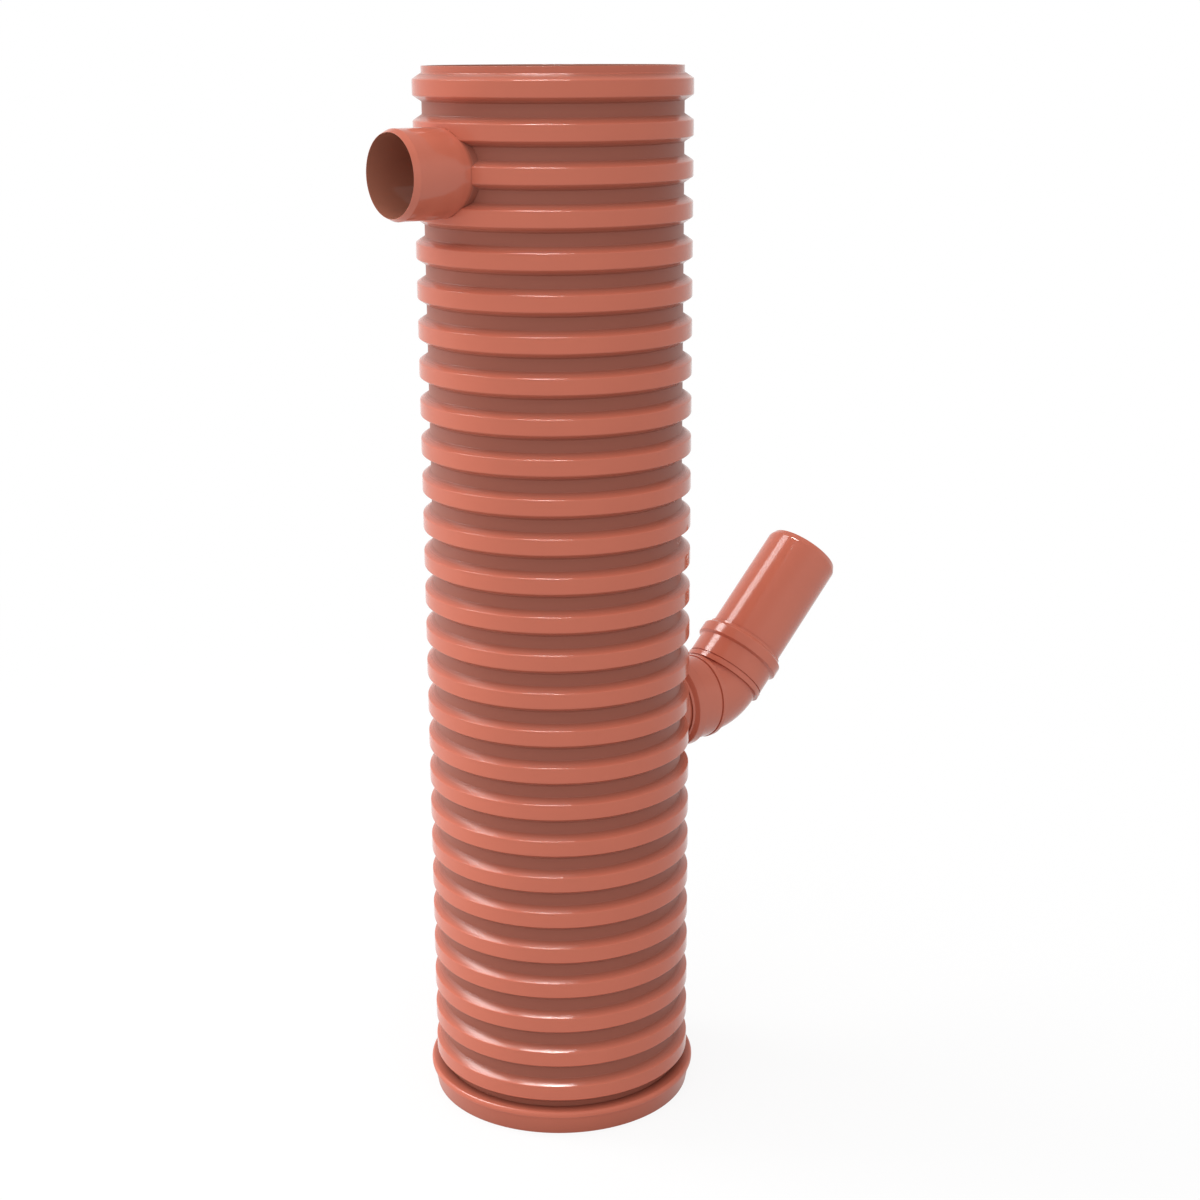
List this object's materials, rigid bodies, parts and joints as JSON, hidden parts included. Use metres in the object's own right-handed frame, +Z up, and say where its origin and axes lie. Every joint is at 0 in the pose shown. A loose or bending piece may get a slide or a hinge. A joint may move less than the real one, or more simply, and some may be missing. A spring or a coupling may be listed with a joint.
{
  "type": "rainwater gully",
  "caption": "Corrugated plastic shaft on a moulded base, with a pipe spigot near the top, a sump and a rising outlet bend that holds a water seal.",
  "frame": {"origin": "centre of the base's underside, on the shaft's axis", "axes": "+Z up along the shaft, +X towards the outlet, -X towards the inlet"},
  "size_m": [0.7497, 0.3684, 1.3885],
  "materials": {
    "shaft_plastic": "orange-brown, smooth as moulded",
    "base_plastic": "orange-brown, smooth as moulded",
    "pipe_plastic": "orange-brown, glossy as extruded",
    "bend_plastic": "orange-brown, glossy as moulded",
    "seal_rubber": "black, matt"
  },
  "bodies": {
    "root": {"shaft_pipe": "shaft_plastic", "base_cap": "base_plastic", "inlet_spigot": "pipe_plastic", "outlet_stub": "pipe_plastic", "outlet_bend": "bend_plastic", "outlet_pipe": "pipe_plastic", "stub_seal_ring": "seal_rubber", "leg_seal_ring": "seal_rubber"}
  },
  "joints": []
}
